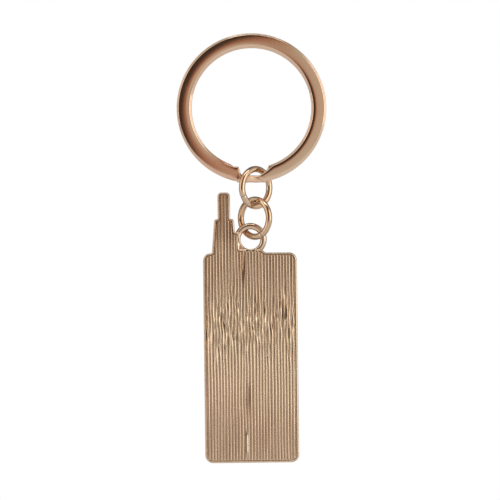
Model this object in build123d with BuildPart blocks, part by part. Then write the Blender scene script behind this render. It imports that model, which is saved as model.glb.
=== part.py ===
"""Metal souvenir key ring: split ring, two wire links and a cast skyline charm.

The piece hangs from the inner top of its split ring, which is the origin.
+Z is up, +X is to the right when facing the ribbed back, and the back faces -Y.
"""
from build123d import *
from math import cos, radians, sin
import os

# split ring: one flat wire wound twice, cranked from the front coil to the rear coil
ring_inner_radius = 12.0
ring_outer_radius = 15.0
coil_thickness = 0.85
coil_gap = 0.08
coil_edge_radius = 0.28
ring_centre_z = -ring_inner_radius
crank_width = 1.4
crank_bottom = 14.93
crank_left = -2.7
crank_right = 2.9
crank_straight = 0.9
coil_joint_angle = 4.0

# wire links, each bent round from one straight wire
link_wire_radius = 0.64
link_mean_radius = 3.73
link_joint_angle = 1.2
upper_link_x = 0.85
upper_link_y = 0.3
upper_link_drop = 15.97
upper_link_turn = 43.0
upper_joint_at = 205.0
lower_link_x = 0.7
lower_link_y = 0.3
lower_link_drop = 22.09
lower_link_turn = -41.0
lower_joint_at = 300.0

# charm: hangs by its eye, with a small lean
charm_thickness = 2.4
charm_lean = 0.7
charm_y = 0.8
eye_x = -0.21
eye_drop = 26.32
eye_outer_radius = 3.27
eye_hole_radius = 1.98
eye_thickness = 1.4
eye_rim_radius = 0.62

# charm outline, measured from the centre of the eye
panel_width = 18.8
panel_centre = -0.15
panel_top = -2.7
panel_bottom = -44.8
panel_corner = 1.55
mast_width = 2.5
mast_top = 9.45
mast_corner = 0.8
shaft_width = 3.9
shaft_top = 4.1
shaft_corner = 0.48
base_width = 5.0
tower_centre = -5.25
step_corner = 0.18
web_right = -2.2
web_top = 1.5
saddle_top = -2.0
saddle_right = 2.15
saddle_foot = 3.0
eye_seat_radius = 2.25
outline_edge = 0.3

# ribbed back
rib_pitch = 0.61
groove_width = 0.44
groove_depth = 0.28
groove_side_angle = 24.0
back_rim = 0.5
shoulder_gap = 0.2
corner_rise = 0.4

# coloured front: sunk cells between raised metal lines
cell_depth = 0.5
enamel_thickness = 0.38
line_width = 0.6
front_border = 0.9
river_line = -37.2
ripple_count = 3
ripple_pitch = 1.6
ripple_height = 0.4
ripple_reach = 0.75
ripple_shrink = 0.15
tower_wall = 0.55
lower_tower_width = 6.0
lower_tower_top = -8.0
foot_width = 8.4
foot_shift = 0.3
foot_top = -24.0
block_tops = (-27.5, -22.0, -25.0, -19.5, -29.0)
window_width = 0.55
window_height = 0.9
window_rise = 1.9
first_window = 1.6
tower_windows = 7
tower_window_pitch = 1.98
sun_radius = 1.9
sun_x = 4.6
sun_z = -8.2

charm_top_face = charm_thickness / 2
front_face = -charm_thickness / 2
cell_floor = front_face + cell_depth
enamel_face = cell_floor - enamel_thickness
panel_left = panel_centre - panel_width / 2
panel_right = panel_centre + panel_width / 2
ring_half = coil_gap / 2 + coil_thickness


def charm_plane(height):
    """Sketch plane of the charm, facing its ribbed back, at a height over its middle."""
    lean = radians(charm_lean)
    return Plane(
        origin=(eye_x, charm_y - height, ring_centre_z - eye_drop),
        x_dir=(cos(lean), 0, sin(lean)),
        z_dir=(0, -1, 0),
    )


def coil_section(angle, middle):
    """Sketch plane across the flat wire at an angle round the split ring."""
    a = radians(angle)
    mean = (ring_inner_radius + ring_outer_radius) / 2
    return Plane(
        origin=(mean * cos(a), middle, ring_centre_z + mean * sin(a)),
        x_dir=(cos(a), 0, sin(a)),
        z_dir=(-sin(a), 0, cos(a)),
    )


def link_normal(turn):
    """Direction that a turned link faces."""
    return (sin(radians(turn)), -cos(radians(turn)), 0)


def link_section(centre, turn, angle):
    """Sketch plane across a link's wire at an angle round the link."""
    t = radians(turn)
    a = radians(angle)
    out = (cos(t) * cos(a), sin(t) * cos(a), sin(a))
    along = (-cos(t) * sin(a), -sin(t) * sin(a), cos(a))
    origin = tuple(c + link_mean_radius * o for c, o in zip(centre, out))
    return Plane(origin=origin, x_dir=out, z_dir=along)


def tower_half(v):
    """Half width of the tapered tower shaft at a height over the eye's middle."""
    fall = (shaft_top - v) / (shaft_top - panel_top)
    return (shaft_width + (base_width - shaft_width) * fall) / 2


def groove_top(u):
    """Upper end of the groove that runs at a distance u from the eye's middle."""
    reach = abs(u - tower_centre)
    if reach < mast_width / 2 - groove_width:
        return mast_top - back_rim
    if reach < shaft_width / 2 - groove_width / 2:
        return shaft_top - back_rim - shoulder_gap
    if tower_centre < u < web_right - back_rim / 2:
        return web_top - back_rim
    if reach < tower_half(0.0) - groove_width / 2:
        return -back_rim
    if web_right - back_rim / 2 <= u < saddle_right:
        return -eye_seat_radius - back_rim
    return panel_top - back_rim


def groove_bottom(u):
    """Lower end of a groove, raised in the two rounded corners."""
    side = min(u - panel_left, panel_right - u)
    if side < panel_corner:
        return panel_bottom + back_rim + (panel_corner - side) * corner_rise
    return panel_bottom + back_rim


ring_axis = Axis((0, 0, ring_centre_z), (0, -1, 0))
front_middle = -(coil_gap + coil_thickness) / 2
rear_middle = (coil_gap + coil_thickness) / 2
coil_start = -90.0 + coil_joint_angle
coil_sweep = 360.0 - 2 * coil_joint_angle

# gap cut in each coil beside the crank, measured from the ring centre: it leaves
# one end slanted to a point and the other running into the crank
tip = (1.45, -13.93)
free_end = [(2.75, -16.0), (2.4, -14.78), tip, (4.3, -11.35), (4.3, -11.0)]
front_notch = [(-2.9, -11.0), (-2.45, -12.1), (-1.95, -13.3), (-1.95, -16.0)] + free_end
rear_notch = [(-3.8, -11.0), (-2.2, -13.45), (-2.2, -16.0)] + free_end

with BuildPart() as split_ring:
    with BuildSketch(coil_section(coil_start, front_middle)):
        RectangleRounded(ring_outer_radius - ring_inner_radius, coil_thickness, coil_edge_radius)
    revolve(axis=ring_axis, revolution_arc=coil_sweep)
    with BuildSketch(Plane((0, 0, ring_centre_z), x_dir=(1, 0, 0), z_dir=(0, -1, 0))):
        Polygon(*front_notch, align=None)
    extrude(amount=2 * ring_half, mode=Mode.SUBTRACT)
    with BuildSketch(coil_section(coil_start, rear_middle)):
        RectangleRounded(ring_outer_radius - ring_inner_radius, coil_thickness, coil_edge_radius)
    revolve(axis=ring_axis, revolution_arc=coil_sweep)
    with BuildSketch(Plane((0, 0, ring_centre_z), x_dir=(-1, 0, 0), z_dir=(0, 1, 0))):
        Polygon(*rear_notch, align=None)
    extrude(amount=2 * ring_half, mode=Mode.SUBTRACT)
    crank_z = ring_centre_z - crank_bottom + crank_width / 2
    with BuildLine() as crank_path:
        Spline(
            (crank_left, front_middle, crank_z),
            (crank_left + crank_straight, front_middle, crank_z),
            (crank_right - crank_straight, rear_middle, crank_z),
            (crank_right, rear_middle, crank_z),
            tangents=((1, 0, 0), (1, 0, 0)),
        )
    with BuildSketch(Plane((crank_left, front_middle, crank_z), x_dir=(0, 1, 0), z_dir=(1, 0, 0))):
        RectangleRounded(coil_thickness, crank_width, coil_edge_radius)
    sweep(path=crank_path.line)

upper_centre = (upper_link_x, upper_link_y, ring_centre_z - upper_link_drop)
with BuildPart() as upper_link:
    with BuildSketch(link_section(upper_centre, upper_link_turn, upper_joint_at)):
        Circle(link_wire_radius)
    revolve(
        axis=Axis(upper_centre, link_normal(upper_link_turn)),
        revolution_arc=360.0 - link_joint_angle,
    )

lower_centre = (lower_link_x, lower_link_y, ring_centre_z - lower_link_drop)
with BuildPart() as lower_link:
    with BuildSketch(link_section(lower_centre, lower_link_turn, lower_joint_at)):
        Circle(link_wire_radius)
    revolve(
        axis=Axis(lower_centre, link_normal(lower_link_turn)),
        revolution_arc=360.0 - link_joint_angle,
    )

eye_centre = (eye_x, charm_y, ring_centre_z - eye_drop)
tower_left = tower_centre - base_width / 2
outline = [
    (panel_left, panel_bottom),
    (panel_left, panel_top),
    (tower_left, panel_top),
    (tower_centre - shaft_width / 2, shaft_top),
    (tower_centre - mast_width / 2, shaft_top),
    (tower_centre - mast_width / 2, mast_top),
    (tower_centre + mast_width / 2, mast_top),
    (tower_centre + mast_width / 2, shaft_top),
    (tower_centre + shaft_width / 2, shaft_top),
    (tower_centre + tower_half(web_top), web_top),
    (web_right, web_top),
    (web_right, saddle_top),
    (saddle_right, saddle_top),
    (saddle_foot, panel_top),
    (panel_right, panel_top),
    (panel_right, panel_bottom),
]
panel_corners = [outline[0], outline[1], outline[-2], outline[-1]]
mast_corners = [outline[5], outline[6]]
shaft_corners = [outline[3], outline[8]]
step_corners = [outline[2], outline[4], outline[7]]

# rib grooves as (distance across, upper end, lower end)
rib_count = int((panel_width - 2 * back_rim) / rib_pitch)
first_rib = panel_centre - (rib_count - 1) * rib_pitch / 2
groove_lines = [first_rib + i * rib_pitch for i in range(rib_count)]


def corners_at(sketch, points):
    """The sketch's corners that lie at the given points."""
    reach = step_corner / 10
    return [
        v
        for v in sketch.vertices()
        for p in points
        if abs(v.X - p[0]) + abs(v.Y - p[1]) < reach
    ]


with BuildSketch() as charm_outline:
    Polygon(*outline, align=None)
    fillet(corners_at(charm_outline, panel_corners), panel_corner)
    fillet(corners_at(charm_outline, mast_corners), mast_corner)
    fillet(corners_at(charm_outline, shaft_corners), shaft_corner)
    fillet(corners_at(charm_outline, step_corners), step_corner)

with BuildPart() as charm_casting:
    with BuildSketch(charm_plane(front_face)):
        add(charm_outline.sketch)
    extrude(amount=charm_thickness)
    fillet(charm_casting.faces().sort_by(Axis.Y)[0].outer_wire().edges(), outline_edge)
    fillet(charm_casting.faces().sort_by(Axis.Y)[-1].outer_wire().edges(), outline_edge / 2)
    with BuildSketch(charm_plane(charm_top_face)):
        for u in groove_lines:
            with Locations((u, (groove_top(u) + groove_bottom(u)) / 2)):
                SlotOverall(groove_top(u) - groove_bottom(u), groove_width, rotation=90)
    extrude(amount=-groove_depth, taper=groove_side_angle, mode=Mode.SUBTRACT)

    with BuildSketch(charm_plane(charm_top_face)):
        Circle(eye_seat_radius)
    extrude(amount=-charm_thickness, mode=Mode.SUBTRACT)
    eye_mean = (eye_outer_radius + eye_hole_radius) / 2
    eye_section = Plane(
        origin=(eye_centre[0] + eye_mean, charm_y, eye_centre[2]), x_dir=(1, 0, 0), z_dir=(0, 0, 1)
    )
    with BuildSketch(eye_section):
        RectangleRounded(eye_outer_radius - eye_hole_radius, eye_thickness, eye_rim_radius)
    revolve(axis=Axis(eye_centre, (0, 1, 0)), revolution_arc=360.0)

# regions of the coloured front, drawn facing the back like the rest of the charm
with BuildSketch() as tower_region:
    with Locations((tower_centre, (mast_top + foot_top) / 2)):
        Rectangle(mast_width - 2 * tower_wall, mast_top - foot_top - 2 * tower_wall)
    with Locations((tower_centre, (shaft_top + foot_top) / 2 - tower_wall)):
        Rectangle(shaft_width - 2 * tower_wall, shaft_top - foot_top)
    with Locations((tower_centre, (lower_tower_top + river_line) / 2)):
        Rectangle(lower_tower_width - line_width, lower_tower_top - river_line)
    with Locations((tower_centre + foot_shift, (foot_top + river_line) / 2)):
        Rectangle(foot_width - line_width, foot_top - river_line)

block_left = tower_centre + foot_shift + foot_width / 2 + line_width / 2
block_width = (panel_right - front_border - block_left) / len(block_tops)
with BuildSketch() as block_region:
    for i, top in enumerate(block_tops):
        with Locations((block_left + (i + 0.5) * block_width, (top + river_line) / 2)):
            Rectangle(block_width, top - river_line)

inner_width = panel_width - 2 * front_border
with BuildSketch() as sky_region:
    with Locations((panel_centre, (panel_top + river_line) / 2 - front_border / 2)):
        Rectangle(inner_width, panel_top - river_line - front_border)
    with Locations((sun_x, sun_z)):
        Circle(sun_radius, mode=Mode.SUBTRACT)
    for region in (tower_region, block_region):
        lined = offset(
            region.sketch, amount=line_width, kind=Kind.INTERSECTION, mode=Mode.PRIVATE
        )
        add(lined, mode=Mode.SUBTRACT)

with BuildSketch() as river_region:
    river_top = river_line - line_width
    river_bottom = panel_bottom + front_border
    with Locations((panel_centre, (river_top + river_bottom) / 2)):
        Rectangle(inner_width, river_top - river_bottom)
    for i in range(ripple_count):
        ripple_length = inner_width * (ripple_reach - ripple_shrink * i)
        with Locations((panel_centre + (i - 1) * ripple_pitch, river_top - (i + 1) * ripple_pitch)):
            SlotOverall(ripple_length, ripple_height, mode=Mode.SUBTRACT)

with BuildSketch() as window_grid:
    for row in range(tower_windows):
        with Locations((tower_centre, foot_top + first_window + row * window_rise)):
            with GridLocations(tower_window_pitch, 0, 2, 1):
                Rectangle(window_width, window_height)
    for i, top in enumerate(block_tops):
        for row in range(int((top - river_line) / window_rise) - 1):
            with Locations((block_left + (i + 0.5) * block_width, river_line + (row + 1) * window_rise)):
                Rectangle(window_width, window_height)

with charm_casting:
    with BuildSketch(charm_plane(front_face)):
        add(sky_region.sketch)
        add(river_region.sketch)
        add(tower_region.sketch)
        add(block_region.sketch)
        add(window_grid.sketch, mode=Mode.SUBTRACT)
    extrude(amount=cell_depth, mode=Mode.SUBTRACT)

with BuildPart() as enamel_sky:
    with BuildSketch(charm_plane(enamel_face)):
        add(sky_region.sketch)
    extrude(amount=enamel_thickness)

with BuildPart() as enamel_tower:
    with BuildSketch(charm_plane(enamel_face)):
        add(tower_region.sketch)
        add(window_grid.sketch, mode=Mode.SUBTRACT)
    extrude(amount=enamel_thickness)

with BuildPart() as enamel_blocks:
    with BuildSketch(charm_plane(enamel_face)):
        add(block_region.sketch)
        add(window_grid.sketch, mode=Mode.SUBTRACT)
    extrude(amount=enamel_thickness)

with BuildPart() as enamel_river:
    with BuildSketch(charm_plane(enamel_face)):
        add(river_region.sketch)
    extrude(amount=enamel_thickness)

split_ring.part.label = "split_ring"
upper_link.part.label = "upper_link"
lower_link.part.label = "lower_link"
charm_casting.part.label = "charm_casting"
enamel_sky.part.label = "enamel_sky"
enamel_tower.part.label = "enamel_tower"
enamel_blocks.part.label = "enamel_blocks"
enamel_river.part.label = "enamel_river"

os.makedirs("parts", exist_ok=True)
for node in (
    split_ring,
    upper_link,
    lower_link,
    charm_casting,
    enamel_sky,
    enamel_tower,
    enamel_blocks,
    enamel_river,
):
    export_step(node.part, f"parts/{node.part.label}.step")
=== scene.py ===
"""Souvenir key ring: split ring, two wire links and a cast skyline charm with a ribbed back."""
import math

import bmesh
import bpy
import numpy as np
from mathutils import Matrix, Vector


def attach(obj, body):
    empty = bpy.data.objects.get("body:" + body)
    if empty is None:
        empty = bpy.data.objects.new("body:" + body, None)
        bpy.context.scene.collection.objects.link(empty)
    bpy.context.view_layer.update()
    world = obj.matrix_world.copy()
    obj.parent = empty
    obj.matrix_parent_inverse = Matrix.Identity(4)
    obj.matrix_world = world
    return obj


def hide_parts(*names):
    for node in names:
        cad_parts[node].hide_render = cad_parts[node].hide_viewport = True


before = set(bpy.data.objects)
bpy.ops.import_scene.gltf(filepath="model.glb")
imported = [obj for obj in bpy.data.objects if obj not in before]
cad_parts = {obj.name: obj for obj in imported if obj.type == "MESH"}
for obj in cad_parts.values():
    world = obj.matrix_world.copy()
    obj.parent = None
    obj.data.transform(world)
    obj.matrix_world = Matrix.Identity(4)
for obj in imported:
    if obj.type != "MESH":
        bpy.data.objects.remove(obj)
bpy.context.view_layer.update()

MM = 0.001

# split ring, in millimetres, measured from the hang point at its inner top
RING_INNER, RING_OUTER = 12.0, 15.0
RING_Z = -12.0
COIL, COIL_GAP, COIL_EDGE, COIL_CROWN = 0.85, 0.08, 0.26, 0.14
FRONT_COIL_INSET = 0.22
# turn angles over which the inset fades at the crank and at the tip, and the wire changes coil
INSET_FADE, TIP_FADE, COIL_STEP = (-17.0, -11.0), (8.0, 16.0), (-7.6, 8.4)
RIDGE_SHIFT = 0.22
CRANK_LOW, CRANK_HIGH = 14.93, 13.53
CRANK_SPAN, CRANK_FLAT, CRANK_REACH = 24.0, 0.8, 2.9
# inner edge of the wire left and right of the crank, by distance from its middle
LEFT_ROOT, LEFT_SHOULDER = (0, 2.19, 3.02, 3.31), 12.34
RIGHT_ROOT = (0, 2.44, 4.5)
# the free ends, as turn angles from the tip and the radii there
END_TURN, END_SPAN = 5.9, 24.0
END_INNER_AT, END_INNER = (END_TURN, 7.5, 17.5, 20.5), (13.85, 13.55, 12.2, RING_INNER)
END_OUTER_AT, END_OUTER = (END_TURN, 6.8, 9.6), (14.05, 14.45, RING_OUTER)

# wire links
WIRE, LINK_R = 0.64, 3.73
LINK_STATIONS, LINK_AROUND = 120, 28
CUT_GAP = 0.55
PINCH, PINCH_REACH = 0.07, 0.12
SPRING, SPRING_REACH = 0.02, 1.2
UPPER_LINK = (0.85, 0.3, RING_Z - 15.97)
UPPER_TURN, UPPER_JOINT = 43.0, 205.0
LOWER_LINK = (0.7, 0.3, RING_Z - 22.09)
LOWER_TURN, LOWER_JOINT = -41.0, 300.0

# charm, measured from the centre of its eye
EYE = (-0.21, 0.8, RING_Z - 26.32)
LEAN = math.radians(0.7)
EYE_HOLE, EYE_OUTER, EYE_HALF, EYE_ROUND = 1.98, 3.27, 0.7, 0.62
PANEL_LEFT, PANEL_RIGHT, PANEL_TOP, PANEL_BOTTOM = -9.55, 9.25, -2.7, -44.8
TOWER, MAST_TOP, SHAFT_TOP = -5.25, 9.45, 4.1
SHAFT_HALF, BASE_HALF, MAST_HALF = 1.95, 2.5, 1.25
WEB_RIGHT, WEB_TOP = -2.2, 1.5
SADDLE_TOP, SADDLE_RIGHT, SADDLE_FOOT = -2.0, 2.15, 3.0
RIB_PITCH = 0.61
RIBS, STEPS_PER_RIB = 32, 10
VALLEY, CREST, RIB_LIMIT = 0.93, 1.15, 1.185
SPLIT_LEVEL = 0.2
ROW_STEP, FINE_ROW_STEP = 0.28, 0.09
RIB_MARGIN, RIB_SINK, RIB_CUT, RIB_EYE_CUT = 0.2, 0.02, 0.28, 2.12
BAND_MID, BAND_REACH = -17.3, 6.2
WORN_FROM, WORN_TO = -16.0, -40.0
RIM_LEVEL, RIM_STEP, RIM_EDGE, RIM_FADE = 0.8, 0.4, 0.3, (2.5, 3.0)
EYE_STATIONS, EYE_CORNER_STEPS = 120, 8
EYE_SEAT_LEVEL, EYE_SEAT_RISE, EYE_SEAT_FADE = 0.2, 1.0, (2.1, 2.26)
EYE_THICKENING, EYE_SOFTENING = 0.1, 0.3
CORNER_TURNS = ((1, 1, 0), (-1, 1, 90), (-1, -1, 180), (1, -1, 270))

# finishes: hairline grain per metre, depths in millimetres
HAIRLINE_FINE, HAIRLINE_COARSE, HAIRLINE_DEPTH = 1800, 500, 0.02
RUBBED_ROUGHNESS = 0.12
ENAMEL_RIPPLE = 0.03

# studio, in metres
FLOOR_RADIUS, FLOOR_DROP = 0.7, 0.15
VIEW_X, VIEW_Z, VIEW_DISTANCE, LENS = -0.00029, -0.04047, 1.5, 538.7
# the reflected room, from its left to its right
ROOM = (
    (0.0, (0.80, 0.76, 0.70)), (0.16, (0.72, 0.66, 0.60)), (0.24, (0.05, 0.035, 0.03)),
    (0.42, (0.06, 0.04, 0.03)), (0.455, (0.36, 0.17, 0.11)), (0.49, (0.52, 0.37, 0.29)),
    (0.525, (0.56, 0.51, 0.45)), (0.60, (0.60, 0.56, 0.49)), (0.70, (0.50, 0.46, 0.41)),
    (0.80, (0.95, 0.91, 0.85)), (0.92, (1.0, 0.98, 0.94)),
)


# ---- small tools ------------------------------------------------------------

def smoothstep(low, high, x):
    t = np.clip((x - low) / (high - low), 0.0, 1.0)
    return t * t * (3.0 - 2.0 * t)


def soft_noise(x, y, seed):
    """Smooth noise between -1 and 1 that changes about once per unit of x and y."""
    table = np.random.default_rng(seed).uniform(-1.0, 1.0, (64, 64))
    xi, yi = np.floor(x).astype(int), np.floor(y).astype(int)
    fx, fy = x - xi, y - yi
    fx, fy = fx * fx * (3 - 2 * fx), fy * fy * (3 - 2 * fy)
    a, b = table[xi % 64, yi % 64], table[(xi + 1) % 64, yi % 64]
    c, d = table[xi % 64, (yi + 1) % 64], table[(xi + 1) % 64, (yi + 1) % 64]
    return (a * (1 - fx) + b * fx) * (1 - fy) + (c * (1 - fx) + d * fx) * fy


def make_piece(name, points, faces, body, node=None, sharp=40.0, painted_light_and_tone=None):
    """A mesh piece from points in millimetres, riding on a body."""
    mesh = bpy.data.meshes.new(name)
    mesh.from_pydata((np.asarray(points) * MM).tolist(), [], [list(map(int, f)) for f in faces])
    mesh.validate()
    mesh.update()
    if painted_light_and_tone is not None:
        layer = mesh.attributes.new("painted_light_and_tone", "FLOAT", "POINT")
        layer.data.foreach_set("value", np.asarray(painted_light_and_tone, dtype=np.float32))
    mesh.shade_smooth()
    mesh.set_sharp_from_angle(angle=math.radians(sharp))
    piece = bpy.data.objects.new(name, mesh)
    bpy.context.scene.collection.objects.link(piece)
    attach(piece, body)
    if node:
        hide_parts(node)
    return piece


def tube_faces(rings, around, closed=False, caps=True):
    """Quads between successive rings of points, with the ends closed by a face."""
    faces = []
    count = rings if closed else rings - 1
    for i in range(count):
        a, b = i * around, ((i + 1) % rings) * around
        for j in range(around):
            k = (j + 1) % around
            faces.append((a + j, a + k, b + k, b + j))
    if caps and not closed:
        faces.append(tuple(range(around))[::-1])
        faces.append(tuple((rings - 1) * around + j for j in range(around)))
    return faces


def face_outward(piece):
    """Turns every face of a piece to look outwards."""
    work = bmesh.new()
    work.from_mesh(piece.data)
    bmesh.ops.recalc_face_normals(work, faces=work.faces)
    work.to_mesh(piece.data)
    work.free()
    piece.data.update()


# ---- split ring: one flat wire wound twice -----------------------------------

def wire_section(width, thick, crown):
    """Points round a flat wire's section: rounded edges and slightly domed faces."""
    edge = min(COIL_EDGE, width * 0.45, thick * 0.45)
    half_width, half_thick = width / 2, thick / 2
    points = []
    for cx, cy, start in CORNER_TURNS:
        for step in range(7):
            a = math.radians(start + step * 15)
            across = cx * (half_width - edge) + edge * math.cos(a)
            points.append([across, cy * (half_thick - edge) + edge * math.sin(a)])
        if start in (0, 180):
            side = 1 if start == 0 else -1
            for f in (0.66, 0.33, 0.0, -0.33, -0.66):
                points.append([side * f * (half_width - edge), side * half_thick])
    ridge = -RIDGE_SHIFT * width
    for p in points:
        run = half_width - ridge if p[0] > ridge else half_width + ridge
        lift = crown * (1 - min(1.0, abs(p[0] - ridge) / run) ** 2)
        p[1] = p[1] * (1 - 2 * crown / thick) + math.copysign(lift, p[1])
    return points


def ring_station(turn):
    """Inner radius, outer radius and depth of the wire at a turn angle from the ring's bottom."""
    inner, outer = RING_INNER, RING_OUTER
    side = turn - 360.0
    # crank between the two coils
    if abs(side) < CRANK_SPAN:
        x = CRANK_LOW * math.tan(math.radians(side))
        straight = CRANK_LOW / math.cos(math.radians(side))
        notch = CRANK_HIGH / math.cos(math.radians(side))
        if abs(x) <= CRANK_FLAT:
            outer = straight
        elif abs(x) < CRANK_REACH:
            outer = max(RING_OUTER, straight)
        if side < 0:
            inner = np.interp(-x, LEFT_ROOT, (notch, notch, LEFT_SHOULDER, RING_INNER))
        else:
            inner = np.interp(x, RIGHT_ROOT, (notch, notch, RING_INNER))
    # pointed free ends
    end = min(turn, 720.0 - turn)
    if end < END_SPAN:
        inner = np.interp(end, END_INNER_AT, END_INNER)
        outer = np.interp(end, END_OUTER_AT, END_OUTER)
    # the front coil is wound a little narrower, so the rear one shows as a thin edge
    narrow = FRONT_COIL_INSET * (1.0 - float(smoothstep(*INSET_FADE, side)))
    narrow *= float(smoothstep(*TIP_FADE, end))
    inner, outer = inner + narrow, outer - narrow
    # the wire steps from the front coil's depth to the rear one's
    blend = smoothstep(*COIL_STEP, side)
    depth = (COIL + COIL_GAP) / 2 * (2 * blend - 1)
    return float(inner), float(outer), float(depth)


def build_split_ring():
    turns = np.concatenate([
        np.linspace(END_TURN, 24, 30), np.linspace(26, 334, 155), np.linspace(336, 384, 70),
        np.linspace(386, 694, 155), np.linspace(696, 720 - END_TURN, 30),
    ])
    points = []
    for turn in turns:
        inner, outer, depth = ring_station(turn)
        section = wire_section(outer - inner, COIL, COIL_CROWN)
        a = math.radians(turn - 90.0)
        for p, q in section:
            r = (inner + outer) / 2 + p
            points.append((r * math.cos(a), depth + q, RING_Z + r * math.sin(a)))
    around = len(section)
    piece = make_piece("split_ring_wire", points, tube_faces(len(turns), around), "ring",
                       "split_ring", sharp=50)
    face_outward(piece)
    return piece


# ---- wire links ----------------------------------------------------------------

def build_link(name, node, body, centre, turn, joint):
    """A round wire link with its two cut ends meeting at the joint."""
    t = math.radians(turn)
    length = 2 * math.pi * LINK_R
    points = []
    for i in range(LINK_STATIONS):
        f = i / (LINK_STATIONS - 1)
        a = math.radians(joint + CUT_GAP + f * (360.0 - 2 * CUT_GAP))
        # the cut pinches both ends, and one springs in a little
        pinch = 1.0 - PINCH * math.exp(-(min(f, 1 - f) * length / PINCH_REACH) ** 2)
        spring = SPRING * math.exp(-(f * length / SPRING_REACH) ** 2)
        for j in range(LINK_AROUND):
            b = 2 * math.pi * j / LINK_AROUND
            r = LINK_R - spring + WIRE * pinch * math.cos(b)
            n = WIRE * pinch * math.sin(b)
            across = r * math.cos(a)
            points.append((
                centre[0] + across * math.cos(t) - n * math.sin(t),
                centre[1] + across * math.sin(t) + n * math.cos(t),
                centre[2] + r * math.sin(a),
            ))
    faces = tube_faces(LINK_STATIONS, LINK_AROUND)
    piece = make_piece(name, points, faces, body, node, sharp=50)
    face_outward(piece)
    return piece


# ---- charm -----------------------------------------------------------------------

def charm_point(u, v, w):
    """From across, up and towards-the-back of the charm to the row frame, in millimetres."""
    c, s = math.cos(LEAN), math.sin(LEAN)
    return np.stack([EYE[0] + u * c - v * s, EYE[1] - w + 0 * u, EYE[2] + u * s + v * c], axis=-1)


def tower_half(v):
    return SHAFT_HALF + (BASE_HALF - SHAFT_HALF) * (SHAFT_TOP - v) / (SHAFT_TOP - PANEL_TOP)


CORNERS = [
    (PANEL_LEFT, PANEL_BOTTOM, 1.55), (PANEL_LEFT, PANEL_TOP, 1.55),
    (TOWER - BASE_HALF, PANEL_TOP, 0.18), (TOWER - SHAFT_HALF, SHAFT_TOP, 0.48),
    (TOWER - MAST_HALF, SHAFT_TOP, 0.18), (TOWER - MAST_HALF, MAST_TOP, 0.8),
    (TOWER + MAST_HALF, MAST_TOP, 0.8), (TOWER + MAST_HALF, SHAFT_TOP, 0.18),
    (TOWER + SHAFT_HALF, SHAFT_TOP, 0.48), (TOWER + tower_half(WEB_TOP), WEB_TOP, 0.02),
    (WEB_RIGHT, WEB_TOP, 0.02), (WEB_RIGHT, SADDLE_TOP, 0.02),
    (SADDLE_RIGHT, SADDLE_TOP, 0.02), (SADDLE_FOOT, PANEL_TOP, 0.02),
    (PANEL_RIGHT, PANEL_TOP, 1.55), (PANEL_RIGHT, PANEL_BOTTOM, 1.55),
]


def outline_loop(step=0.7):
    """Points round the charm's outline, clockwise from the back, and their inward directions."""
    points, inward = [], []
    count = len(CORNERS)
    for i, (cu, cv, r) in enumerate(CORNERS):
        prev, nxt = np.array(CORNERS[i - 1][:2]), np.array(CORNERS[(i + 1) % count][:2])
        here = np.array([cu, cv])
        d_in = (here - prev) / np.linalg.norm(here - prev)
        d_out = (nxt - here) / np.linalg.norm(nxt - here)
        cross = d_in[0] * d_out[1] - d_in[1] * d_out[0]
        half = math.acos(np.clip(np.dot(d_in, d_out), -1, 1)) / 2
        cut = r * math.tan(half)
        start, end = here - d_in * cut, here + d_out * cut
        n_in, n_out = np.array([d_in[1], -d_in[0]]), np.array([d_out[1], -d_out[0]])
        if points:
            last = points[-1]
            length = np.linalg.norm(start - last)
            for k in range(1, int(length / step) + 1):
                f = k / (int(length / step) + 1)
                points.append(last + (start - last) * f)
                inward.append(n_in)
        steps = 10 if r > 0.3 else 4
        side = 1 if cross < 0 else -1
        centre = start + n_in * r * side
        for k in range(steps + 1):
            f = k / steps
            n = n_in * math.sin((1 - f) * 2 * half) + n_out * math.sin(f * 2 * half)
            n = n / np.linalg.norm(n)
            points.append(centre - n * r * side)
            inward.append(n)
    first, last = points[0], points[-1]
    length = np.linalg.norm(first - last)
    d = (first - last) / length
    for k in range(1, int(length / step) + 1):
        points.append(last + (first - last) * k / (int(length / step) + 1))
        inward.append(np.array([d[1], -d[0]]))
    return np.array(points), np.array(inward)


def outline_depth(u, v, loop):
    """Distance inside the outline, negative outside."""
    a, b = loop, np.roll(loop, -1, axis=0)
    shape = u.shape
    p = np.stack([u.ravel(), v.ravel()], axis=1)
    best = np.full(len(p), 1e9)
    inside = np.zeros(len(p), dtype=bool)
    for (x0, y0), (x1, y1) in zip(a, b):
        d = np.array([x1 - x0, y1 - y0])
        length = d @ d
        if length < 1e-12:
            continue
        t = np.clip(((p[:, 0] - x0) * d[0] + (p[:, 1] - y0) * d[1]) / length, 0, 1)
        best = np.minimum(best, np.hypot(p[:, 0] - x0 - t * d[0], p[:, 1] - y0 - t * d[1]))
        crosses = (y0 > p[:, 1]) != (y1 > p[:, 1])
        if y1 != y0:
            inside ^= crosses & (p[:, 0] < x0 + (p[:, 1] - y0) / (y1 - y0) * d[0])
    return np.where(inside, best, -best).reshape(shape)


def eye_drop(u, v, w):
    """Lowers the plate's back where it runs into the eye."""
    rho = np.hypot(u, v)
    rise = EYE_SEAT_RISE * smoothstep(*EYE_SEAT_FADE, rho)
    return np.minimum(w, EYE_SEAT_LEVEL + rise)


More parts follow.
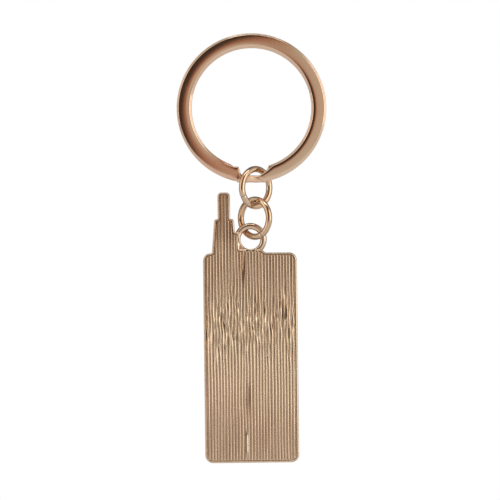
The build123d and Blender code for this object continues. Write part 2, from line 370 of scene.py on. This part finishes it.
def rim_strip():
    """The smooth border round the back, its rounded edge and the upper half of the side wall."""
    loop, inward = outline_loop()
    # each row is a distance in from the outline and a height towards the back
    profile = [(0.43, 0.80), (0.41, 0.97), (0.385, 1.09), (0.36, 1.16), (0.33, 1.19), (0.3, 1.2)]
    for k in range(1, 7):
        a = math.radians(15 * k)
        profile.append((RIM_EDGE - RIM_EDGE * math.sin(a), 0.9 + RIM_EDGE * math.cos(a)))
    profile += [(0.0, 0.6), (0.0, SPLIT_LEVEL)]
    rows = []
    for d, w in profile:
        q = loop + inward * d
        from_eye = np.hypot(q[:, 0], q[:, 1])
        level = np.minimum(w, RIM_LEVEL + RIM_STEP * smoothstep(*RIM_FADE, from_eye))
        rows.append(charm_point(q[:, 0], q[:, 1], eye_drop(q[:, 0], q[:, 1], level)))
    points = np.concatenate(rows)
    n = len(loop)
    faces = []
    for i in range(len(profile) - 1):
        for j in range(n):
            k = (j + 1) % n
            faces.append((i * n + j, i * n + k, (i + 1) * n + k, (i + 1) * n + j))
    # painted shade along the foot of the border, where the ribs meet it
    painted_light_and_tone = np.concatenate([np.full(n, 0.15 if w < 1.0 and d > 0.3 else 1.0) for d, w in profile])
    return points, faces, painted_light_and_tone


def rib_grid():
    """Rib phase and height over the back, with more rows wherever the outline turns."""
    phase = np.arange(RIBS * STEPS_PER_RIB + 1) / STEPS_PER_RIB
    rows = [np.arange(PANEL_BOTTOM, MAST_TOP, ROW_STEP)]
    for v, reach in ((PANEL_TOP - 0.4, 0.9), (PANEL_BOTTOM + 0.5, 0.7), (MAST_TOP - 0.5, 0.7),
                     (SHAFT_TOP - 0.5, 0.7), (-2.6, 1.2)):
        rows.append(np.arange(v - reach, v + reach, FINE_ROW_STEP))
    rows = np.unique(np.round(np.concatenate(rows), 3))
    keep = np.concatenate([[True], np.diff(rows) > FINE_ROW_STEP / 2])
    return np.meshgrid(phase, rows[keep], indexing="ij")


def spot(u, v, centre_u, centre_v, reach_u, reach_v, power=2):
    """A soft spot, 1 at its centre; a higher power squares off its two ends."""
    return np.exp(-(((u - centre_u) / reach_u) ** 2 + ((v - centre_v) / reach_v) ** power))


def rib_field():
    """The ribbed back: rounded ribs that wander a little and ripple across the middle."""
    loop, _ = outline_loop(step=3.0)
    p, v = rib_grid()
    rib = np.floor(p)
    u = PANEL_LEFT - RIB_MARGIN + p * RIB_PITCH
    # slow wander of whole groups of ribs, and a quicker one inside the rippled band
    band_mid = BAND_MID + 1.5 * np.sin(u * 1.25) + 0.8 * np.sin(u * 2.9 + 1.0)
    band = np.exp(-((v - band_mid) / BAND_REACH) ** 4)
    u = u + 0.07 * soft_noise(p * 0.33, v / 8.0, 3) + 0.03 * soft_noise(p * 0.9, v / 5.0, 5)
    sway = 0.16 * soft_noise(p * 0.8 + 9.0, v / 2.4, 7) + 0.06 * soft_noise(p * 1.7, v / 1.2, 8)
    u = u + band * sway
    # each rib's rounded section, fuller lower down, where the back is worn
    x = (p - rib) * 2.0 - 1.0
    worn = smoothstep(WORN_FROM, WORN_TO, v)
    fleck = np.clip(soft_noise(rib * 7.0 + 0.5, v / 2.2, 22) * 1.4, -0.55, 0.85)
    fullness = (1.9 + 2.5 * worn) * np.exp(-band * 1.6 * fleck)
    rounded = np.sqrt(np.clip(1.0 - 0.97 * np.abs(x) ** fullness, 0.0, 1.0))
    swell = 1.0 + 0.10 * soft_noise(rib * 3.7, v / 4.0, 11)
    swell = swell + 0.10 * soft_noise(rib * 5.3, v / 11.0, 12)
    swell = swell - band * 0.6 * np.clip(fleck - 0.4, 0, 1)
    # a smooth worn oval, a hollow below the eye that also gets painted shade, and a raised streak
    # near the foot that also gets a painted highlight
    oval = spot(u, v, -0.95, -31.3, 0.5, 3.0)
    hollow_shade = spot(u - 0.03 * (v + 5), v, -1.4, -5.0, 0.28, 2.6)
    highlight_streak = spot(u, v, -1.15, -41.0, 0.15, 2.3, power=4)
    swell = swell * (1 - 0.7 * oval) * (1 - 0.85 * hollow_shade) * (1 - 0.64 * worn)
    height = VALLEY + (CREST - VALLEY) * rounded * np.clip(swell, 0.05, 1.15)
    # painted light on the plating: painted shade in the grooves and the hollow, full tone on the
    # crests and the worn metal, a painted highlight on the streak near the foot, and darker towards
    # the top of the back
    painted_light_and_tone = (height - VALLEY) / (CREST - VALLEY) + 0.6 * worn - 0.42 * smoothstep(-28.0, -3.0, v)
    painted_light_and_tone = painted_light_and_tone - 0.25 * smoothstep(-3.0, 2.0, v)
    painted_light_and_tone = np.clip(np.maximum(painted_light_and_tone - 0.5 * hollow_shade, np.maximum(oval, highlight_streak)), 0, 1)
    height = height + 0.03 * oval - 0.05 * hollow_shade + 0.13 * highlight_streak
    height = height + 0.02 * band * soft_noise(u / 0.9, v / 2.2, 31)
    height = height + 0.018 * soft_noise(u / 3.0, v / 5.0, 33)
    # the ribs sink into the border at their ends
    depth = outline_depth(u, v, loop)
    ends = smoothstep(0.38, 0.56, depth)
    height = VALLEY - RIB_SINK + (height - VALLEY + RIB_SINK) * ends
    height = eye_drop(u, v, np.minimum(height, RIB_LIMIT))
    points = charm_point(u.ravel(), v.ravel(), height.ravel())
    good = (depth > RIB_CUT) & (np.hypot(u, v) > RIB_EYE_CUT)
    nu, nv = u.shape
    index = np.arange(nu * nv).reshape(nu, nv)
    whole = good[:-1, :-1] & good[1:, :-1] & good[:-1, 1:] & good[1:, 1:]
    corners = [index[:-1, :-1], index[1:, :-1], index[1:, 1:], index[:-1, 1:]]
    quads = np.stack(corners, axis=-1)[whole]
    used, inverse = np.unique(quads, return_inverse=True)
    return points[used], inverse.reshape(quads.shape), painted_light_and_tone.ravel()[used]


def eye_ring():
    """The cast eye: a rounded ring that runs into the thicker plate."""
    mean, half = (EYE_HOLE + EYE_OUTER) / 2, (EYE_OUTER - EYE_HOLE) / 2
    points = []
    for i in range(EYE_STATIONS):
        a = 2 * math.pi * i / EYE_STATIONS
        joined = float(smoothstep(0.0, 0.5, -0.6 * math.cos(a) - 0.8 * math.sin(a)))
        thick, edge = EYE_HALF + EYE_THICKENING * joined, EYE_ROUND - EYE_SOFTENING * joined
        for cx, cy, start in CORNER_TURNS:
            for step in range(EYE_CORNER_STEPS):
                b = math.radians(start + step * 90 / (EYE_CORNER_STEPS - 1))
                r = mean + cx * (half - edge) + edge * math.cos(b)
                w = cy * (thick - edge) + edge * math.sin(b)
                u, v = r * math.cos(a), r * math.sin(a)
                points.append(charm_point(np.array(u), np.array(v), np.array(w)))
    faces = tube_faces(EYE_STATIONS, len(CORNER_TURNS) * EYE_CORNER_STEPS, closed=True)
    return np.array(points), faces, np.ones(len(points))


def front_shell():
    """The coloured side of the charm: the casting's own front half, without its eye."""
    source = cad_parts["charm_casting"]
    work = bmesh.new()
    work.from_mesh(source.data)
    work.transform(source.matrix_world)
    level = (EYE[1] - SPLIT_LEVEL) * MM
    everything = work.verts[:] + work.edges[:] + work.faces[:]
    bmesh.ops.bisect_plane(work, geom=everything, plane_co=(0, level, 0), plane_no=(0, -1, 0),
                           clear_outer=True)
    centre = np.array(EYE)
    slack = 0.006

    def on_eye(face):
        for vert in face.verts:
            q = np.array(vert.co) / MM - centre
            if math.hypot(q[0], q[2]) > EYE_OUTER + slack or q[1] > EYE_HALF + slack:
                return False
        return True

    doomed = [f for f in work.faces if on_eye(f)]
    bmesh.ops.delete(work, geom=doomed, context="FACES")
    mesh = bpy.data.meshes.new("front_half")
    work.to_mesh(mesh)
    work.free()
    points = np.array([v.co[:] for v in mesh.vertices]) / MM
    faces = [tuple(p.vertices) for p in mesh.polygons]
    return points, faces, np.ones(len(points))


def build_charm():
    points, faces, painted_light_and_tone, start = [], [], [], 0
    shell, rim, field, eye = front_shell(), rim_strip(), rib_field(), eye_ring()
    for p, f, r in (shell, rim, field, eye):
        points.append(np.asarray(p).reshape(-1, 3))
        faces.extend(tuple(int(i) + start for i in face) for face in f)
        painted_light_and_tone.append(r)
        start += len(points[-1])
    piece = make_piece("charm_plate", np.concatenate(points), faces, "charm",
                       "charm_casting", sharp=45, painted_light_and_tone=np.concatenate(painted_light_and_tone))
    # the ribs run smoothly into their grooves, so no edge among them is a crease
    first = len(points[0]) + len(points[1])
    mesh = piece.data
    ends = np.empty(len(mesh.edges) * 2, dtype=np.int32)
    mesh.edges.foreach_get("vertices", ends)
    creases = np.empty(len(mesh.edges), dtype=bool)
    mesh.attributes["sharp_edge"].data.foreach_get("value", creases)
    low_end = ends.reshape(-1, 2).min(axis=1)
    creases[(low_end >= first) & (low_end < first + len(points[2]))] = False
    mesh.attributes["sharp_edge"].data.foreach_set("value", creases)
    return piece


split_ring_wire = build_split_ring()
upper_wire_link = build_link("upper_wire_link", "upper_link", "upper_link_body",
                             UPPER_LINK, UPPER_TURN, UPPER_JOINT)
lower_wire_link = build_link("lower_wire_link", "lower_link", "lower_link_body",
                             LOWER_LINK, LOWER_TURN, LOWER_JOINT)
charm_plate = build_charm()


# ---- finishes --------------------------------------------------------------------

def group(name, inputs, outputs):
    """An empty node group with named sockets and its two end nodes."""
    tree = bpy.data.node_groups.new(name, "ShaderNodeTree")
    for label, kind, value in inputs:
        socket = tree.interface.new_socket(label, in_out="INPUT", socket_type=kind)
        if value is not None:
            socket.default_value = value
    for label, kind in outputs:
        tree.interface.new_socket(label, in_out="OUTPUT", socket_type=kind)
    return tree, tree.nodes.new("NodeGroupInput"), tree.nodes.new("NodeGroupOutput")


def node(tree, kind, **values):
    """A node with its settings and input values filled in."""
    n = tree.nodes.new(kind)
    for key, value in values.items():
        if key in n.inputs:
            n.inputs[key].default_value = value
        else:
            setattr(n, key, value)
    return n


def maths(tree, operation, *values):
    """The output of a math node fed with sockets or plain numbers."""
    n = node(tree, "ShaderNodeMath", operation=operation)
    for socket, value in zip(n.inputs, values):
        if isinstance(value, bpy.types.NodeSocket):
            tree.links.new(value, socket)
        else:
            socket.default_value = value
    return n.outputs[0]


def ranged(tree, value, low, high, to_low=0.0, to_high=1.0, curve="LINEAR"):
    """The output of a map range node: a value taken from one range to another."""
    n = node(tree, "ShaderNodeMapRange", interpolation_type=curve)
    limits = {"From Min": low, "From Max": high, "To Min": to_low, "To Max": to_high}
    for label, limit in limits.items():
        n.inputs[label].default_value = limit
    tree.links.new(value, n.inputs["Value"])
    return n.outputs["Result"]


def mixed(tree, factor, a, b):
    """The output of a colour mix of two colours, each a socket or plain red, green and blue."""
    n = node(tree, "ShaderNodeMix", data_type="RGBA")
    tree.links.new(factor, n.inputs["Factor"])
    for label, colour in (("A", a), ("B", b)):
        if isinstance(colour, bpy.types.NodeSocket):
            tree.links.new(colour, n.inputs[label])
        else:
            n.inputs[label].default_value = (*colour, 1)
    return n.outputs["Result"]


def noise(tree, vector, **values):
    """The output of a noise texture."""
    n = node(tree, "ShaderNodeTexNoise", **values)
    tree.links.new(vector, n.inputs["Vector"])
    return n.outputs["Fac"]


def hairline_group():
    """Fine rubbed hairlines."""
    tree, start, end = group("rubbed_hairlines", [
        ("Vector", "NodeSocketVector", None), ("Density", "NodeSocketFloat", 1.0)],
        [("Lines", "NodeSocketFloat")])
    layers = []
    for turn, stretch in ((0.35, 9.0), (-0.9, 14.0), (1.7, 11.0)):
        mapping = node(tree, "ShaderNodeMapping", Rotation=(0.2, turn, turn * 0.4),
                       Scale=(HAIRLINE_FINE, HAIRLINE_COARSE, HAIRLINE_FINE / stretch))
        tree.links.new(start.outputs["Vector"], mapping.inputs["Vector"])
        streaks = noise(tree, mapping.outputs["Vector"], Scale=1.0, Detail=3.0, Roughness=0.6)
        layers.append(ranged(tree, streaks, 0.60, 0.74))
    total = maths(tree, "MAXIMUM", maths(tree, "MAXIMUM", layers[0], layers[1]), layers[2])
    lines = maths(tree, "MULTIPLY", total, start.outputs["Density"])
    tree.links.new(lines, end.inputs["Lines"])
    return tree


def plating_group():
    """Plating colour that drifts between champagne and rose, with painted shade in hollows."""
    tree, start, end = group("plating_colour", [
        ("Vector", "NodeSocketVector", None),
        ("Champagne", "NodeSocketColor", (0.8, 0.6, 0.45, 1)),
        ("Rose", "NodeSocketColor", (0.8, 0.5, 0.4, 1)),
        ("Hollow Shade", "NodeSocketColor", (0.3, 0.2, 0.12, 1)),
        ("Painted Light And Tone", "NodeSocketFloat", 1.0), ("Patch Size", "NodeSocketFloat", 90.0)],
        [("Color", "NodeSocketColor"), ("Haze", "NodeSocketFloat")])
    given = start.outputs
    patches = node(tree, "ShaderNodeTexNoise", Detail=2.0, Roughness=0.5, Distortion=0.3)
    tree.links.new(given["Vector"], patches.inputs["Vector"])
    tree.links.new(given["Patch Size"], patches.inputs["Scale"])
    spread = ranged(tree, patches.outputs["Fac"], 0.38, 0.66)
    tone = mixed(tree, spread, given["Champagne"], given["Rose"])
    surface = mixed(tree, given["Painted Light And Tone"], given["Hollow Shade"], tone)
    tree.links.new(surface, end.inputs["Color"])
    cloud = noise(tree, given["Vector"], Scale=110.0, Detail=2.0, Roughness=0.5)
    tree.links.new(cloud, end.inputs["Haze"])
    return tree


HAIRLINES = hairline_group()
PLATING = plating_group()


def plated_metal(name, champagne, rose, hollow_shade, rough, haze, lines, patch, has_painted_light_and_tone=False):
    """Rose gold plating: polished, lightly hazed and rubbed, with painted shade in its hollows."""
    material = bpy.data.materials.new(name)
    material.use_nodes = True
    tree = material.node_tree
    shader = tree.nodes["Principled BSDF"]
    shader.inputs["Metallic"].default_value = 1.0
    where = node(tree, "ShaderNodeTexCoord")
    colour = node(tree, "ShaderNodeGroup", node_tree=PLATING)
    tree.links.new(where.outputs["Object"], colour.inputs["Vector"])
    for label, tone in (("Champagne", champagne), ("Rose", rose), ("Hollow Shade", hollow_shade)):
        colour.inputs[label].default_value = (*tone, 1)
    colour.inputs["Patch Size"].default_value = patch
    if has_painted_light_and_tone:
        # painted light and tone from the mesh: painted shade in grooves and hollows, a painted
        # highlight on one streak
        height = node(tree, "ShaderNodeAttribute", attribute_name="painted_light_and_tone")
        tree.links.new(ranged(tree, height.outputs["Fac"], 0.0, 0.8), colour.inputs["Painted Light And Tone"])
    tree.links.new(colour.outputs["Color"], shader.inputs["Base Color"])
    scratches = node(tree, "ShaderNodeGroup", node_tree=HAIRLINES)
    scratches.inputs["Density"].default_value = lines
    tree.links.new(where.outputs["Object"], scratches.inputs["Vector"])
    cloudy = maths(tree, "MULTIPLY_ADD", colour.outputs["Haze"], haze, rough - haze * 0.5)
    rubbed = maths(tree, "MULTIPLY_ADD", scratches.outputs["Lines"], RUBBED_ROUGHNESS, cloudy)
    tree.links.new(rubbed, shader.inputs["Roughness"])
    dents = node(tree, "ShaderNodeBump", Strength=0.25, Distance=HAIRLINE_DEPTH * MM)
    tree.links.new(scratches.outputs["Lines"], dents.inputs["Height"])
    tree.links.new(dents.outputs["Normal"], shader.inputs["Normal"])
    return material


def enamel(name, colour, shade):
    """Soft enamel: glossy, a little uneven in tone, with faint pooling."""
    material = bpy.data.materials.new(name)
    material.use_nodes = True
    tree = material.node_tree
    shader = tree.nodes["Principled BSDF"]
    shader.inputs["Coat Weight"].default_value = 0.6
    shader.inputs["Coat Roughness"].default_value = 0.06
    where = node(tree, "ShaderNodeTexCoord")
    pooling = noise(tree, where.outputs["Object"], Scale=260.0, Detail=5.0, Roughness=0.6)
    tree.links.new(mixed(tree, pooling, colour, shade), shader.inputs["Base Color"])
    tree.links.new(ranged(tree, pooling, 0.0, 1.0, 0.18, 0.34), shader.inputs["Roughness"])
    surface = noise(tree, where.outputs["Object"], Scale=900.0, Detail=2.0)
    ripple = node(tree, "ShaderNodeBump", Strength=0.12, Distance=ENAMEL_RIPPLE * MM)
    tree.links.new(surface, ripple.inputs["Height"])
    tree.links.new(ripple.outputs["Normal"], shader.inputs["Normal"])
    return material


ring_plating = plated_metal(
    "ring_plating",
    champagne=(0.80, 0.62, 0.46), rose=(0.82, 0.54, 0.39), hollow_shade=(0.40, 0.26, 0.18),
    rough=0.12, haze=0.05, lines=0.35, patch=60.0)
# the links' plating is a darker copy of the ring's: painted shade on the links
link_plating = plated_metal(
    "link_plating",
    champagne=(0.68, 0.52, 0.37), rose=(0.72, 0.46, 0.29), hollow_shade=(0.40, 0.26, 0.16),
    rough=0.14, haze=0.06, lines=0.4, patch=160.0)
charm_plating = plated_metal(
    "charm_plating",
    champagne=(0.74, 0.59, 0.43), rose=(0.77, 0.56, 0.42), hollow_shade=(0.29, 0.18, 0.11),
    rough=0.20, haze=0.06, lines=0.0, patch=45.0, has_painted_light_and_tone=True)
for piece, finish in ((split_ring_wire, ring_plating), (upper_wire_link, link_plating),
                      (lower_wire_link, link_plating), (charm_plate, charm_plating)):
    piece.data.materials.append(finish)

ENAMELS = {
    "enamel_sky": ((0.42, 0.66, 0.78), (0.34, 0.58, 0.72)),
    "enamel_tower": ((0.035, 0.06, 0.16), (0.05, 0.08, 0.20)),
    "enamel_blocks": ((0.52, 0.13, 0.08), (0.44, 0.10, 0.07)),
    "enamel_river": ((0.02, 0.22, 0.26), (0.03, 0.28, 0.30)),
}
for label, (colour, shade) in ENAMELS.items():
    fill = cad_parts[label]
    finish = enamel(label + "_fill", colour, shade)
    fill.data.materials.clear()
    fill.data.materials.append(finish)


# ---- studio -------------------------------------------------------------------------

def studio_floor():
    """A plain pale floor, well below the hanging piece."""
    mesh = bpy.data.meshes.new("studio_floor")
    work = bmesh.new()
    bmesh.ops.create_circle(work, cap_ends=True, segments=96, radius=FLOOR_RADIUS)
    bmesh.ops.translate(work, verts=work.verts, vec=(0, 0, -FLOOR_DROP))
    work.to_mesh(mesh)
    work.free()
    floor = bpy.data.objects.new("studio_floor", mesh)
    bpy.context.scene.collection.objects.link(floor)
    material = bpy.data.materials.new("studio_white")
    material.use_nodes = True
    shader = material.node_tree.nodes["Principled BSDF"]
    shader.inputs["Base Color"].default_value = (0.9, 0.9, 0.9, 1)
    shader.inputs["Roughness"].default_value = 0.9
    mesh.materials.append(material)


def studio_world():
    """An even white studio, with a darker, warmer room in the reflections."""
    world = bpy.data.worlds.new("studio")
    bpy.context.scene.world = world
    world.use_nodes = True
    tree = world.node_tree
    back = tree.nodes["Background"]
    where = node(tree, "ShaderNodeTexCoord")
    split = node(tree, "ShaderNodeSeparateXYZ")
    tree.links.new(where.outputs["Generated"], split.inputs[0])
    # the room's tone runs from left to right and shifts with height; behind is a plain wall
    slope = node(tree, "ShaderNodeVectorMath", operation="DOT_PRODUCT")
    tree.links.new(where.outputs["Generated"], slope.inputs[0])
    slope.inputs[1].default_value = (0.92, 0.0, -0.22)
    upward = maths(tree, "MAXIMUM", split.outputs["Z"], 0.0)
    ceiling = maths(tree, "MULTIPLY_ADD", upward, -0.34, slope.outputs["Value"])
    room = node(tree, "ShaderNodeValToRGB")
    stops = room.color_ramp.elements
    for stop, (position, tone) in zip(stops, (ROOM[0], ROOM[-1])):
        stop.position = position
        stop.color = (*tone, 1)
    for position, tone in ROOM[1:-1]:
        stops.new(position).color = (*tone, 1)
    tree.links.new(maths(tree, "MULTIPLY_ADD", ceiling, 0.5, 0.5), room.inputs["Fac"])
    behind = ranged(tree, split.outputs["Y"], 0.0, 0.5)
    wall = ranged(tree, split.outputs["Y"], 0.70, 0.95, 0.22, 0.42, curve="SMOOTHSTEP")
    reflected = mixed(tree, behind, room.outputs["Color"], wall)
    # only reflections see the room: matt surfaces get an even grey, and the backdrop is white
    path = node(tree, "ShaderNodeLightPath")
    lit = mixed(tree, path.outputs["Is Glossy Ray"], (0.62, 0.60, 0.59), reflected)
    seen = mixed(tree, path.outputs["Is Camera Ray"], lit, (1.0, 1.0, 1.0))
    tree.links.new(seen, back.inputs["Color"])
    back.inputs["Strength"].default_value = 1.0


def soft_light(name, place, aim, size, power, tint=(1, 1, 1)):
    data = bpy.data.lights.new(name, "AREA")
    data.shape = "RECTANGLE"
    data.size, data.size_y = size
    data.energy = power
    data.color = tint
    lamp = bpy.data.objects.new(name, data)
    lamp.location = place
    lamp.rotation_euler = (Vector(aim) - Vector(place)).to_track_quat("-Z", "Y").to_euler()
    bpy.context.scene.collection.objects.link(lamp)


studio_floor()
studio_world()
soft_light("right_softbox", (0.55, -0.45, 0.15), (0, 0, -0.04), (0.25, 0.6), 0.9, (1.0, 0.96, 0.90))
soft_light("left_softbox", (-0.6, -0.25, 0.05), (0, 0, -0.04), (0.12, 0.6), 0.32, (1.0, 0.95, 0.90))
soft_light("top_softbox", (0.05, -0.25, 0.6), (0, 0, -0.03), (0.5, 0.2), 0.8)

camera_data = bpy.data.cameras.new("portrait")
camera_data.lens = LENS
camera_data.sensor_width = 36.0
camera_data.clip_start, camera_data.clip_end = 0.1, 20.0
camera = bpy.data.objects.new("portrait", camera_data)
camera.location = (VIEW_X, -VIEW_DISTANCE, VIEW_Z)
camera.rotation_euler = (math.radians(90), 0, 0)
bpy.context.scene.collection.objects.link(camera)
bpy.context.scene.camera = camera
bpy.context.scene.view_settings.view_transform = "Standard"
